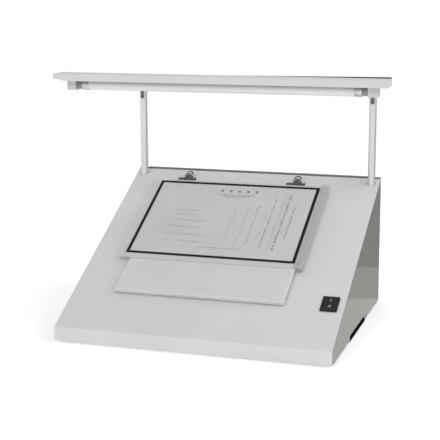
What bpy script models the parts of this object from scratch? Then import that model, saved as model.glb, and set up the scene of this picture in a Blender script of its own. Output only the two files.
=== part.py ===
"""A wedge-shaped light box: sloped opal plate, film held by two clips, and a lamp on a tilting head.

Units are metres, +Z is up, the operator sits on the -Y side. The origin is on the floor, under the
middle of the object. Pieces on the sloped face are placed in the slope frame: X across, Y up the
slope from the front bend, Z out of the face.
"""

import math

import bmesh
import bpy
from mathutils import Matrix, Vector

# Housing
BOX_WIDTH = 0.420
FRONT_Y = -0.184
BACK_Y = 0.177
BOTTOM_Z = 0.003
LIP_HEIGHT = 0.0215
REAR_HEIGHT = 0.2072
SHEET = 0.0012
GAP = 0.0003
FOLD_RADIUS = 0.0022
RETURN_FLANGE = 0.014
REAR_FLANGE = 0.014
BACK_RISE = 0.0009
BACK_RISE_HALF = 0.1925
BASE_TOP_Z = 0.0127
NOTCH_FRONT_Y = -0.060
NOTCH_BACK_Y = 0.062
NOTCH_HEIGHT = 0.0075

SIDE_X = BOX_WIDTH / 2
BEND_Z = BOTTOM_Z + LIP_HEIGHT
SLOPE_RISE = REAR_HEIGHT - LIP_HEIGHT
SLOPE = math.atan2(SLOPE_RISE, BACK_Y - FRONT_Y)
REAR_INNER_Y = BACK_Y - SHEET - GAP
INNER_X = SIDE_X - SHEET - GAP

# Opal plate and film, in the slope frame
PLATE_X = (-0.1425, 0.1222)
PLATE_S = (0.083, 0.367)
PLATE_THICKNESS = 0.006
PLATE_BOTTOM_H = 0.0012
PLATE_TOP_H = PLATE_BOTTOM_H + PLATE_THICKNESS
APERTURE_INSET = 0.010
APERTURE_TOP_INSET = 0.013
FILM_X = (-0.1645, 0.1325)
FILM_S = (0.158, 0.368)
FILM_THICKNESS = 0.0004
FILM_BOTTOM_H = PLATE_TOP_H + GAP
FILM_TOP_H = FILM_BOTTOM_H + FILM_THICKNESS
STUD_INSET_X = 0.0032
STUD_INSET_S = 0.0027
STUD_RADIUS = 0.0046
STUD_STEM_RADIUS = 0.0014
STUD_FOOT_RADIUS = 0.0030
STUD_HOLE_RADIUS = 0.0017

# Light unit under the plate, in the slope frame
TRAY_X = (-0.1615, 0.1495)
TRAY_S = (0.088, 0.360)
TRAY_DEPTH = 0.042
TRAY_SHEET = 0.0008
INNER_TUBE_S = (0.139, 0.224, 0.309)
INNER_TUBE_RADIUS = 0.008
INNER_TUBE_LENGTH = 0.288
INNER_TUBE_H = -0.026

# Clips, in the slope frame
CLIP_X = (-0.1110, 0.0769)
CLIP_PIN_S = 0.3758
CLIP_PIN_H = 0.0088
CLIP_EAR_X = 0.0048
CLIP_EAR = 0.0008
CLIP_FOOT_S = (0.3712, 0.3802)
CLIP_BORE_RADIUS = 0.0014
CLIP_SLEEVE_RADIUS = 0.0024
JAW_HALF = 0.0155
JAW_S = (0.3632, 0.3676)
RING_S = 0.3830
RING_DROP = 0.0008
RING_OUTER = 0.0056
RING_INNER = 0.0038
LEVER_SHEET = 0.0012
NECK_HALF = 0.0024

# Switch, in the slope frame
SWITCH_X = 0.1880
SWITCH_S = 0.0942
BEZEL = (0.0252, 0.0312)
BEZEL_HEIGHT = 0.0018
SWITCH_BODY = (0.0214, 0.0276)
SWITCH_DEPTH = 0.022
ROCKER_RADIUS = 0.0122
ROCKER_HALF_WIDTH = 0.0092
ROCKER_PIVOT_H = -0.0016
ROCKER_TILT = math.radians(9)

# Posts and lamp head
POST_X = 0.1970
POST_Y = 0.162
POST_RADIUS = 0.006
POST_BORE = 0.0046
POST_BOTTOM_Z = 0.017
POST_TOP_Z = 0.3535
SLOT_BOTTOM_Z = 0.3313
SLOT_HALF = 0.0032
PIVOT_Z = 0.3475
PIVOT_RADIUS = 0.002
RUNNING = 0.0001
ARM_HALF = 0.0028
ARM_HALF_HEIGHT = 0.0055
TONGUE_Z = 0.3366
BAR_HALF_LENGTH = 0.2040
BAR_THICKNESS = 0.003
HOOD_FRONT_Y = -0.063
HOOD_DEPTH = 0.0367
HOOD_BOTTOM_Z = 0.3768
HOOD_HEIGHT = 0.0108
HOOD_SHEET = 0.001
HOOD_CUT = (0.0200, 0.0035)
HOOD_HALF = 0.2575
LAMP_Y = HOOD_FRONT_Y + 0.0250
LAMP_Z = 0.3698
LAMP_RADIUS = 0.008
LAMP_HALF = 0.218
TUBE_BORE = 0.0068
HOLDER_X = (0.2265, 0.2410)
HOLDER_BOTTOM_Z = 0.3618
BALLAST_CASE_X = (-0.034, 0.2545)
BALLAST_CASE_DEPTH = 0.013
BALLAST_CASE_Z = (0.3822, 0.3886)
BALLAST_CASE_FALL = 0.0026

# Mains inlet and vents on the back panel
INLET_X = -0.140
INLET_Z = 0.050
INLET_BLOCK = (0.0135, 0.0100)
INLET_DEPTH = 0.020
INLET_SOCKET_DEPTH = 0.0135
VENT_CENTRE_X = 0.095
VENT_PITCH = 0.008
VENT_HALF = 0.0015
VENT_Z = (0.145, 0.180)
VENT_COUNT = 8
SCREW_HOLE_RADIUS = 0.0019
SCREW_X = 0.130
SCREW_TOP_Z = BOTTOM_Z + REAR_HEIGHT - 0.0085
SCREW_LOW_Z = 0.0083

COLOURS = {
    "white_paint": ((0.78, 0.78, 0.80), 0.35, 0.0),
    "grey_paint": ((0.38, 0.385, 0.375), 0.35, 0.0),
    "opal": ((0.80, 0.81, 0.80), 0.30, 0.0),
    "film": ((0.62, 0.64, 0.62), 0.25, 0.0),
    "black_plastic": ((0.02, 0.02, 0.022), 0.35, 0.0),
    "white_plastic": ((0.75, 0.75, 0.74), 0.45, 0.0),
    "dark_grey_paint": ((0.16, 0.16, 0.165), 0.35, 0.0),
    "grey_plastic": ((0.27, 0.27, 0.27), 0.45, 0.0),
    "dark_steel": ((0.08, 0.08, 0.085), 0.35, 0.8),
    "bright_steel": ((0.60, 0.60, 0.61), 0.30, 1.0),
    "galvanised": ((0.45, 0.46, 0.47), 0.45, 1.0),
    "cap_metal": ((0.70, 0.70, 0.71), 0.35, 1.0),
    "lamp_glass": ((0.86, 0.87, 0.88), 0.15, 0.0),
    "rubber": ((0.03, 0.03, 0.03), 0.80, 0.0),
    "clear_plastic": ((0.70, 0.71, 0.70), 0.15, 0.0),
    "foam_tape": ((0.85, 0.85, 0.83), 0.90, 0.0),
}


def clear_scene():
    for obj in list(bpy.data.objects):
        bpy.data.objects.remove(obj, do_unlink=True)


def material(slot):
    """The named Principled material, made once."""
    found = bpy.data.materials.get(slot)
    if found:
        return found
    colour, roughness, metallic = COLOURS[slot]
    made = bpy.data.materials.new(slot)
    made.use_nodes = True
    shader = made.node_tree.nodes["Principled BSDF"]
    shader.inputs["Base Color"].default_value = (*colour, 1.0)
    shader.inputs["Roughness"].default_value = roughness
    shader.inputs["Metallic"].default_value = metallic
    return made


def frame(name, location, tilt=0.0):
    """An empty that holds pieces in its own axes."""
    empty = bpy.data.objects.new(name, None)
    empty.location = location
    empty.rotation_euler.x = tilt
    bpy.context.scene.collection.objects.link(empty)
    return empty


def finish(name, bm, slot, parent=None, location=(0, 0, 0), tilt=0.0, smooth=False):
    """Turns the bmesh into a named object with outward faces and one material."""
    bmesh.ops.remove_doubles(bm, verts=bm.verts, dist=1e-7)
    bmesh.ops.recalc_face_normals(bm, faces=bm.faces)
    mesh = bpy.data.meshes.new(name)
    bm.to_mesh(mesh)
    bm.free()
    if smooth:
        mesh.shade_smooth()
        mesh.set_sharp_from_angle(angle=math.radians(35))
    obj = bpy.data.objects.new(name, mesh)
    obj.location = location
    obj.rotation_euler.x = tilt
    obj.parent = parent
    if slot:
        mesh.materials.append(material(slot))
    bpy.context.scene.collection.objects.link(obj)
    return obj


def boolean(obj, tool, operation="DIFFERENCE"):
    """Cuts the tool from the object, or joins it on, and leaves the tool out of the model."""
    tool.hide_render = True
    tool.display_type = "WIRE"
    modifier = obj.modifiers.new(f"{operation.lower()}_{tool.name}", "BOOLEAN")
    modifier.operation = operation
    modifier.solver = "EXACT"
    modifier.use_self = operation == "UNION"
    modifier.object = tool


def bevel(obj, width, segments=2, angle=30):
    modifier = obj.modifiers.new("edges", "BEVEL")
    modifier.width = width
    modifier.segments = segments
    modifier.limit_method = "ANGLE"
    modifier.angle_limit = math.radians(angle)
    modifier.use_clamp_overlap = True


def add_box(bm, lo, hi):
    centre = [(a + b) / 2 for a, b in zip(lo, hi)]
    size = [b - a for a, b in zip(lo, hi)]
    place = Matrix.Translation(centre) @ Matrix.Diagonal((*size, 1.0))
    bmesh.ops.create_cube(bm, size=1.0, matrix=place)


def add_prism(bm, outline, lo, hi, axis="X"):
    """Extrudes a flat outline between two stations on an axis. Outline axes are the other two, in order."""
    def point(a, b, station):
        if axis == "X":
            return (station, a, b)
        if axis == "Y":
            return (a, station, b)
        return (a, b, station)

    near = [bm.verts.new(point(a, b, lo)) for a, b in outline]
    far = [bm.verts.new(point(a, b, hi)) for a, b in outline]
    bm.faces.new(near)
    bm.faces.new(far[::-1])
    for i, (a, b) in enumerate(zip(near, far)):
        j = (i + 1) % len(outline)
        bm.faces.new((a, b, far[j], near[j]))


def turn_matrix(origin, axis):
    """Takes a profile turned round Z to one turned round the given axis."""
    turned = {"X": Matrix.Rotation(math.pi / 2, 4, "Y"), "Y": Matrix.Rotation(-math.pi / 2, 4, "X")}
    return Matrix.Translation(origin) @ turned.get(axis, Matrix.Identity(4))


def add_turned(bm, profile, origin=(0, 0, 0), axis="Z", segments=24, closed=False):
    """Turns (radius, along) points round an axis. A closed profile makes a ring, an open one a solid."""
    place = turn_matrix(origin, axis)
    rings = []
    for radius, along in profile:
        if radius == 0:
            rings.append([bm.verts.new(place @ Vector((0, 0, along)))] * segments)
            continue
        ring = []
        for i in range(segments):
            angle = 2 * math.pi * i / segments
            point = Vector((radius * math.cos(angle), radius * math.sin(angle), along))
            ring.append(bm.verts.new(place @ point))
        rings.append(ring)
    pairs = list(zip(rings, rings[1:]))
    if closed:
        pairs.append((rings[-1], rings[0]))
    for low, high in pairs:
        for i in range(segments):
            j = (i + 1) % segments
            corners = [low[i], low[j], high[j], high[i]]
            bm.faces.new(list(dict.fromkeys(corners)))


def add_rod(bm, radius, start, end, origin=(0, 0, 0), axis="Z", segments=24):
    add_turned(bm, [(0, start), (radius, start), (radius, end), (0, end)], origin, axis, segments)


def add_pipe(bm, outer, inner, start, end, origin=(0, 0, 0), axis="Z", segments=24):
    profile = [(outer, start), (outer, end), (inner, end), (inner, start)]
    add_turned(bm, profile, origin, axis, segments, closed=True)


def arc(centre, radius, start, end, steps):
    """Points of an arc, angles in degrees."""
    found = []
    for i in range(steps + 1):
        angle = math.radians(start + (end - start) * i / steps)
        found.append((centre[0] + radius * math.cos(angle), centre[1] + radius * math.sin(angle)))
    return found


def rounded_box_outline(lo, hi, radius, steps=4):
    (x0, y0), (x1, y1) = lo, hi
    return (
        arc((x1 - radius, y1 - radius), radius, 0, 90, steps)
        + arc((x0 + radius, y1 - radius), radius, 90, 180, steps)
        + arc((x0 + radius, y0 + radius), radius, 180, 270, steps)
        + arc((x1 - radius, y0 + radius), radius, 270, 360, steps)
    )


def rounded_path(points, radius, steps=4):
    """The path with each inner corner replaced by an arc of this radius."""
    found = [Vector(points[0])]
    for before, corner, after in zip(points, points[1:], points[2:]):
        corner = Vector(corner)
        back = (Vector(before) - corner).normalized()
        ahead = (Vector(after) - corner).normalized()
        half = back.angle(ahead) / 2
        centre = corner + (back + ahead).normalized() * (radius / math.sin(half))
        first = corner + back * (radius / math.tan(half)) - centre
        turn = first.angle_signed(corner + ahead * (radius / math.tan(half)) - centre)
        for i in range(steps + 1):
            angle = -turn * i / steps
            rotated = Vector((
                first.x * math.cos(angle) - first.y * math.sin(angle),
                first.x * math.sin(angle) + first.y * math.cos(angle),
            ))
            found.append(centre + rotated)
    found.append(Vector(points[-1]))
    return found


def offset_path(points, distance):
    """The path moved to the right of its direction of travel."""
    lines = []
    for a, b in zip(points, points[1:]):
        ahead = (Vector(b) - Vector(a)).normalized()
        right = Vector((ahead.y, -ahead.x))
        lines.append((Vector(a) + right * distance, ahead))
    moved = [lines[0][0]]
    for (p, d), (q, e) in zip(lines, lines[1:]):
        cross = d.x * e.y - d.y * e.x
        along = ((q - p).x * e.y - (q - p).y * e.x) / cross
        moved.append(p + d * along)
    last_point, last_ahead = lines[-1]
    length = (Vector(points[-1]) - Vector(points[-2])).length
    moved.append(last_point + last_ahead * length)
    return moved


def folded_outline(points, thickness, radius):
    """Outline of a folded sheet whose outer face follows the points."""
    outer = rounded_path(points, radius)
    inner = rounded_path(offset_path(points, thickness), radius - thickness)
    return [tuple(p) for p in outer + inner[::-1]]


def surface_z(y):
    """Height of the sloped face at this depth."""
    return BEND_Z + (y - FRONT_Y) * math.tan(SLOPE)


# Housing


def make_top_panel(slope):
    path = [
        (FRONT_Y + RETURN_FLANGE, BOTTOM_Z),
        (FRONT_Y, BOTTOM_Z),
        (FRONT_Y, BEND_Z),
        (REAR_INNER_Y, surface_z(REAR_INNER_Y)),
        (REAR_INNER_Y, surface_z(REAR_INNER_Y) - REAR_FLANGE),
    ]
    bm = bmesh.new()
    add_prism(bm, folded_outline(path, SHEET, FOLD_RADIUS), -SIDE_X, SIDE_X)
    panel = finish("top_panel", bm, "white_paint")

    cuts = bmesh.new()
    aperture_lo = (PLATE_X[0] + APERTURE_INSET, PLATE_S[0] + APERTURE_INSET)
    aperture_hi = (PLATE_X[1] - APERTURE_INSET, PLATE_S[1] - APERTURE_TOP_INSET)
    add_prism(cuts, rounded_box_outline(aperture_lo, aperture_hi, 0.004), -0.004, 0.004, "Z")
    clearance = 0.0004
    half_x = SWITCH_BODY[0] / 2 + clearance
    half_s = SWITCH_BODY[1] / 2 + clearance
    switch_lo = (SWITCH_X - half_x, SWITCH_S - half_s, -0.004)
    switch_hi = (SWITCH_X + half_x, SWITCH_S + half_s, 0.004)
    add_box(cuts, switch_lo, switch_hi)
    boolean(panel, finish("face_cutter", cuts, None, slope))

    holes = bmesh.new()
    for side in (-1, 1):
        add_rod(holes, POST_RADIUS + 0.0006, 0.16, 0.24, (side * POST_X, POST_Y, 0))
        screw_place = (side * SCREW_X, 0, SCREW_TOP_Z)
        add_rod(holes, SCREW_HOLE_RADIUS, REAR_INNER_Y - 0.005, BACK_Y + 0.01, screw_place, "Y", 16)
    boolean(panel, finish("post_hole_cutter", holes, None))


def make_side_panel(name, slope, side):
    """A wedge-shaped sheet with a lifting notch in its lower edge and a flange under the sloped face."""
    drop = (SHEET + GAP) / math.cos(SLOPE)
    front = FRONT_Y + SHEET + GAP
    step_z = BOTTOM_Z + SHEET + GAP
    front_step = FRONT_Y + RETURN_FLANGE + GAP
    back_step = BACK_Y - RETURN_FLANGE - GAP
    notch_top = BOTTOM_Z + NOTCH_HEIGHT
    outline = [
        (front, step_z),
        (front_step, step_z),
        (front_step, BOTTOM_Z),
        (NOTCH_FRONT_Y, BOTTOM_Z),
        (NOTCH_FRONT_Y, notch_top),
        (NOTCH_BACK_Y, notch_top),
        (NOTCH_BACK_Y, BOTTOM_Z),
        (back_step, BOTTOM_Z),
        (back_step, step_z),
        (REAR_INNER_Y, step_z),
        (REAR_INNER_Y, surface_z(REAR_INNER_Y) - REAR_FLANGE - drop),
        (REAR_INNER_Y - SHEET - GAP, surface_z(REAR_INNER_Y) - REAR_FLANGE - drop),
        (REAR_INNER_Y - SHEET - GAP, surface_z(REAR_INNER_Y - SHEET - GAP) - drop - 0.001),
        (front, surface_z(front) - drop - 0.001),
    ]
    bm = bmesh.new()
    add_prism(bm, outline, side * (SIDE_X - SHEET), side * SIDE_X)
    panel = finish(name, bm, "grey_paint")

    flange = bmesh.new()
    flange_width = 0.0100
    flange_top = -SHEET - GAP - 0.0012
    inner, outer = sorted((side * (SIDE_X - SHEET / 2), side * (SIDE_X - flange_width)))
    add_box(flange, (inner, 0.012, flange_top - SHEET), (outer, 0.375, flange_top))
    boolean(panel, finish(f"{name}_flange", flange, None, slope), "UNION")


def make_back_panel():
    path = [
        (BACK_Y, BOTTOM_Z + REAR_HEIGHT + BACK_RISE),
        (BACK_Y, BOTTOM_Z),
        (BACK_Y - RETURN_FLANGE, BOTTOM_Z),
    ]
    bm = bmesh.new()
    add_prism(bm, folded_outline(path, SHEET, FOLD_RADIUS), -SIDE_X, SIDE_X)
    panel = finish("back_panel", bm, "grey_paint")

    cuts = bmesh.new()
    front = BACK_Y - 0.006
    behind = BACK_Y + 0.006
    for side in (-1, 1):
        for i in range(VENT_COUNT):
            x = side * VENT_CENTRE_X + (i - (VENT_COUNT - 1) / 2) * VENT_PITCH
            add_box(cuts, (x - VENT_HALF, front, VENT_Z[0]), (x + VENT_HALF, behind, VENT_Z[1]))
        for z in (SCREW_TOP_Z, SCREW_LOW_Z):
            add_rod(cuts, SCREW_HOLE_RADIUS, front, behind, (side * SCREW_X, 0, z), "Y", 16)
        top = BOTTOM_Z + REAR_HEIGHT
        near, far = sorted((side * BACK_RISE_HALF, side * (SIDE_X + 0.001)))
        add_box(cuts, (near, front, top), (far, behind, top + 2 * BACK_RISE))
    half_x = INLET_BLOCK[0] + 0.0004
    half_z = INLET_BLOCK[1] + 0.0004
    add_box(cuts, (INLET_X - half_x, front, INLET_Z - half_z), (INLET_X + half_x, behind, INLET_Z + half_z))
    boolean(panel, finish("back_cutter", cuts, None))


def make_base_plate():
    front = FRONT_Y + SHEET + GAP
    foot_z = BOTTOM_Z + SHEET + GAP
    path = [(front, foot_z), (front, BASE_TOP_Z), (REAR_INNER_Y, BASE_TOP_Z), (REAR_INNER_Y, foot_z)]
    bm = bmesh.new()
    add_prism(bm, folded_outline(path, SHEET, FOLD_RADIUS), -INNER_X, INNER_X)
    plate = finish("base_plate", bm, "galvanised")

    cuts = bmesh.new()
    for x, y in foot_places():
        add_rod(cuts, 0.0025, 0.008, 0.016, (x, y, 0), segments=16)
    for side in (-1, 1):
        screw_place = (side * SCREW_X, 0, SCREW_LOW_Z)
        add_rod(cuts, SCREW_HOLE_RADIUS, BACK_Y - 0.011, BACK_Y + 0.009, screw_place, "Y", 16)
    boolean(plate, finish("base_cutter", cuts, None))


def foot_places():
    return [(x, y) for x in (-0.180, 0.180) for y in (-0.152, 0.140)]


def make_feet():
    """Rubber feet that plug into the base plate."""
    top = BASE_TOP_Z - SHEET - GAP
    profile = [
        (0, 0.003), (0.003, 0.003), (0.003, 0.0), (0.0085, 0.0), (0.009, 0.0008), (0.008, top),
        (0.0022, top), (0.0022, BASE_TOP_Z + 0.001), (0.0012, BASE_TOP_Z + 0.003), (0, BASE_TOP_Z + 0.003),
    ]
    names = ("front_left_foot", "rear_left_foot", "front_right_foot", "rear_right_foot")
    for name, (x, y) in zip(names, foot_places()):
        bm = bmesh.new()
        add_turned(bm, profile, (x, y, 0), segments=16)
        finish(name, bm, "rubber", smooth=True)


def cross_outline(reach, half):
    """A plus sign of two bars, for a screwdriver recess."""
    quarter = [(reach, -half), (reach, half), (half, half)]
    found = []
    for turn in range(4):
        for a, b in quarter:
            for _ in range(turn):
                a, b = -b, a
            found.append((a, b))
    return found


def make_back_screws():
    """Pan-head screws through the back panel."""
    head_top = 0.0021
    profile = [
        (0, -0.0075), (0.0012, -0.0075), (0.0015, -0.0065), (0.0015, GAP), (0.003, GAP),
        (0.003, 0.0013), (0.0022, head_top), (0, head_top),
    ]
    places = {
        "upper_left_screw": (-SCREW_X, SCREW_TOP_Z),
        "upper_right_screw": (SCREW_X, SCREW_TOP_Z),
        "lower_left_screw": (-SCREW_X, SCREW_LOW_Z),
        "lower_right_screw": (SCREW_X, SCREW_LOW_Z),
    }
    for name, (x, z) in places.items():
        bm = bmesh.new()
        add_turned(bm, profile, (x, BACK_Y, z), "Y", 16)
        screw = finish(name, bm, "bright_steel", smooth=True)
        slot = bmesh.new()
        outline = [(x + a, z + b) for a, b in cross_outline(0.002, 0.0003)]
        add_prism(slot, outline, BACK_Y + 0.0013, BACK_Y + 0.004, "Y")
        boolean(screw, finish(f"{name}_slot", slot, None))


# Light unit


def make_opal_plate(slope):
    bm = bmesh.new()
    outline = rounded_box_outline((PLATE_X[0], PLATE_S[0]), (PLATE_X[1], PLATE_S[1]), 0.0015, 3)
    add_prism(bm, outline, PLATE_BOTTOM_H, PLATE_TOP_H, "Z")
    plate = finish("opal_plate", bm, "opal", slope)
    bevel(plate, 0.0004, 1, 60)


def make_plate_tape(slope):
    """Double-sided tape in a frame under the rim of the plate."""
    bm = bmesh.new()
    outer = ((PLATE_X[0] + 0.002, PLATE_S[0] + 0.002), (PLATE_X[1] - 0.002, PLATE_S[1] - 0.004))
    inner = ((PLATE_X[0] + 0.008, PLATE_S[0] + 0.008), (PLATE_X[1] - 0.008, PLATE_S[1] - 0.0115))
    add_box(bm, (*outer[0], GAP), (*outer[1], PLATE_BOTTOM_H - GAP))
    tape = finish("plate_tape", bm, "foam_tape", slope)
    cut = bmesh.new()
    add_box(cut, (*inner[0], -0.002), (*inner[1], 0.003))
    boolean(tape, finish("tape_cutter", cut, None, slope))


def make_reflector_tray(slope):
    """An open tray that hangs under the sloped face and carries the small tubes."""
    top = -SHEET - GAP
    bm = bmesh.new()
    add_box(bm, (TRAY_X[0], TRAY_S[0], top - TRAY_DEPTH), (TRAY_X[1], TRAY_S[1], top))
    tray = finish("reflector_tray", bm, "white_paint", slope)
    cut = bmesh.new()
    add_box(
        cut,
        (TRAY_X[0] + TRAY_SHEET, TRAY_S[0] + TRAY_SHEET, top - TRAY_DEPTH + TRAY_SHEET),
        (TRAY_X[1] - TRAY_SHEET, TRAY_S[1] - TRAY_SHEET, top + 0.01),
    )
    boolean(tray, finish("tray_cutter", cut, None, slope))


def make_inner_tubes(slope):
    """Three short tubes, each with a slightly wider cap at both ends."""
    half = INNER_TUBE_LENGTH / 2
    cap = INNER_TUBE_RADIUS
    glass = cap - 0.0004
    end = [(0, half), (cap * 0.9, half), (cap, half - 0.001), (cap, half - 0.010), (glass, half - 0.0104)]
    profile = [(radius, -along) for radius, along in end] + end[::-1]
    centre = (TRAY_X[0] + TRAY_X[1]) / 2
    for i, s in enumerate(INNER_TUBE_S):
        bm = bmesh.new()
        add_turned(bm, profile, (centre, s, INNER_TUBE_H), "X", 14)
        finish(f"inner_tube_{i + 1}", bm, "lamp_glass", slope, smooth=True)


def make_holder_strips(slope):
    """Moulded strips at both sides of the tray, with a raised socket at each tube."""
    floor = -SHEET - GAP - TRAY_DEPTH + TRAY_SHEET + GAP
    centre = (TRAY_X[0] + TRAY_X[1]) / 2
    half = INNER_TUBE_LENGTH / 2
    strip = 0.006
    boss = 0.010
    for name, side in (("left_holder_strip", -1), ("right_holder_strip", 1)):
        near = centre + side * (half + 0.0005)
        far = centre + side * (half + 0.0085)
        low_s = TRAY_S[0] + 0.020
        high_s = TRAY_S[1] - 0.020
        outline = [(low_s, floor), (high_s, floor), (high_s, floor + strip)]
        for s in reversed(INNER_TUBE_S):
            outline.append((s + boss, floor + strip))
            outline += arc((s, INNER_TUBE_H), boss, 0, 180, 8)
            outline.append((s - boss, floor + strip))
        outline.append((low_s, floor + strip))
        bm = bmesh.new()
        add_prism(bm, outline, min(near, far), max(near, far))
        finish(name, bm, "white_plastic", slope)


def make_ballast():
    """Metal-cased ballast with a mounting tab at each end."""
    floor = BASE_TOP_Z + GAP
    tab = floor + 0.0015
    centre = 0.02
    tab_half, case_half, bevel_half = 0.085, 0.070, 0.067
    right = [
        (tab_half, floor), (tab_half, tab), (case_half, tab), (case_half, floor + 0.026),
        (bevel_half, floor + 0.029),
    ]
    left = [(-a, z) for a, z in reversed(right)]
    bm = bmesh.new()
    add_prism(bm, [(centre + a, z) for a, z in right + left], 0.045, 0.087, "Y")
    finish("ballast", bm, "galvanised")


def make_terminal_block():
    z = BASE_TOP_Z + GAP
    bm = bmesh.new()
    add_box(bm, (-0.115, 0.058, z), (-0.075, 0.074, z + 0.013))
    block = finish("terminal_block", bm, "white_plastic")
    cut = bmesh.new()
    for i in range(4):
        x = -0.110 + i * 0.010
        add_rod(cut, 0.0022, z + 0.004, z + 0.02, (x, 0.066, 0), segments=12)
    boolean(block, finish("terminal_cutter", cut, None))


# Film and clips


def stud_place():
    return FILM_X[1] - STUD_INSET_X, FILM_S[0] + STUD_INSET_S


def make_film(slope):
    bm = bmesh.new()
    outline = rounded_box_outline((FILM_X[0], FILM_S[0]), (FILM_X[1], FILM_S[1]), 0.002, 3)
    add_prism(bm, outline, FILM_BOTTOM_H, FILM_TOP_H, "Z")
    film = finish("film_chart", bm, "film", slope)
    hole = bmesh.new()
    x, s = stud_place()
    add_rod(hole, STUD_HOLE_RADIUS, 0.0, 0.02, (x, s, 0), segments=16)
    boolean(film, finish("film_cutter", hole, None, slope))

    stud = bmesh.new()
    h = FILM_TOP_H + GAP
    profile = [
        (0, GAP), (STUD_FOOT_RADIUS, GAP), (STUD_FOOT_RADIUS, GAP + 0.0008), (STUD_STEM_RADIUS, GAP + 0.0014),
        (STUD_STEM_RADIUS, h), (STUD_RADIUS, h),
        (STUD_RADIUS, h + 0.0012), (STUD_RADIUS * 0.85, h + 0.0022), (STUD_RADIUS * 0.55, h + 0.0026),
        (STUD_RADIUS * 0.4, h + 0.0020), (0, h + 0.0019),
    ]
    add_turned(stud, profile, (x, s, 0), segments=24)
    finish("film_stud", stud, "clear_plastic", slope, smooth=True)


def make_clip_base(name, slope, x):
    """A bracket on the sloped face with two ears for the pin."""
    width = CLIP_EAR_X + CLIP_EAR
    foot = rounded_box_outline((x - width, CLIP_FOOT_S[0]), (x + width, CLIP_FOOT_S[1]), 0.002, 3)
    bm = bmesh.new()
    add_prism(bm, foot, GAP, GAP + 0.001, "Z")
    base = finish(name, bm, "dark_steel", slope)
    ear_foot = GAP + 0.0003
    for side in (-1, 1):
        ear = bmesh.new()
        outline = [(CLIP_PIN_S - 0.0040, ear_foot)]
        outline += arc((CLIP_PIN_S, CLIP_PIN_H), 0.0023, 180, 0, 8)
        outline.append((CLIP_PIN_S + 0.0038, ear_foot))
        lo, hi = sorted((x + side * CLIP_EAR_X, x + side * width))
        add_prism(ear, outline, lo, hi)
        boolean(base, finish(f"{name}_ear_{side}", ear, None, slope), "UNION")
    hole = bmesh.new()
    add_rod(hole, CLIP_BORE_RADIUS, x - 0.02, x + 0.02, (0, CLIP_PIN_S, CLIP_PIN_H), "X", 16)
    boolean(base, finish(f"{name}_hole", hole, None, slope))


def lever_outline():
    """Plan of the lever: a wide jaw, a narrowing neck and a ring, about its pin."""
    jaw_lo = JAW_S[0] - CLIP_PIN_S
    jaw_hi = JAW_S[1] - CLIP_PIN_S
    ring = RING_S - CLIP_PIN_S
    reach = math.degrees(math.asin(NECK_HALF / RING_OUTER))
    right = [(JAW_HALF, jaw_lo), (JAW_HALF, jaw_hi - 0.0005), (0.0062, jaw_hi), (NECK_HALF, -0.0030)]
    left = [(-a, b) for a, b in reversed(right)]
    return right + arc((0, ring), RING_OUTER, reach - 90, 270 - reach, 20) + left


def make_clip_lever(name, slope, x):
    """Jaw, neck and ring in one sheet, a little lower at the ring, with a sleeve round the pin."""
    place = (x, CLIP_PIN_S, CLIP_PIN_H)
    bm = bmesh.new()
    jaw_h = FILM_TOP_H + GAP - CLIP_PIN_H
    add_prism(bm, lever_outline(), jaw_h, jaw_h + LEVER_SHEET, "Z")
    end = RING_S - CLIP_PIN_S
    fold = 0.0009
    cut_along = bm.verts[:] + bm.edges[:] + bm.faces[:]
    bmesh.ops.bisect_plane(bm, geom=cut_along, plane_co=(0, fold, 0), plane_no=(0, 1, 0), dist=1e-6)
    for vert in bm.verts:
        vert.co.z -= RING_DROP * max(vert.co.y - fold, 0) / (end - fold)
    lever = finish(name, bm, "dark_steel", slope, place)

    ring = bmesh.new()
    add_rod(ring, RING_INNER, -0.02, 0.03, (0, end, 0), segments=20)
    boolean(lever, finish(f"{name}_ring_cutter", ring, None, slope, place))

    joined = bmesh.new()
    add_rod(joined, CLIP_SLEEVE_RADIUS, -NECK_HALF, NECK_HALF, axis="X", segments=16)
    tab_thickness = 0.0009
    tab_half = 0.0018
    tab_height = 0.0021
    y = (JAW_S[0] + JAW_S[1]) / 2 - CLIP_PIN_S
    near = JAW_HALF - 0.0012
    top = jaw_h + LEVER_SHEET + tab_height
    add_box(joined, (near, y - tab_half, jaw_h + LEVER_SHEET / 2), (near + tab_thickness, y + tab_half, top))
    boolean(lever, finish(f"{name}_sleeve", joined, None, slope, place), "UNION")

    bore = bmesh.new()
    add_rod(bore, CLIP_BORE_RADIUS, -0.02, 0.02, axis="X", segments=16)
    boolean(lever, finish(f"{name}_bore", bore, None, slope, place))


def make_clip_pin(name, slope, x):
    bm = bmesh.new()
    end = CLIP_EAR_X + CLIP_EAR + GAP
    head = 0.0008
    profile = [
        (0, -end - head), (0.0017, -end - head), (0.002, -end), (0.0013, -end), (0.0013, end),
        (0.002, end), (0.0017, end + head), (0, end + head),
    ]
    add_turned(bm, profile, (x, CLIP_PIN_S, CLIP_PIN_H), "X", 16)
    finish(name, bm, "bright_steel", slope, smooth=True)


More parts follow.
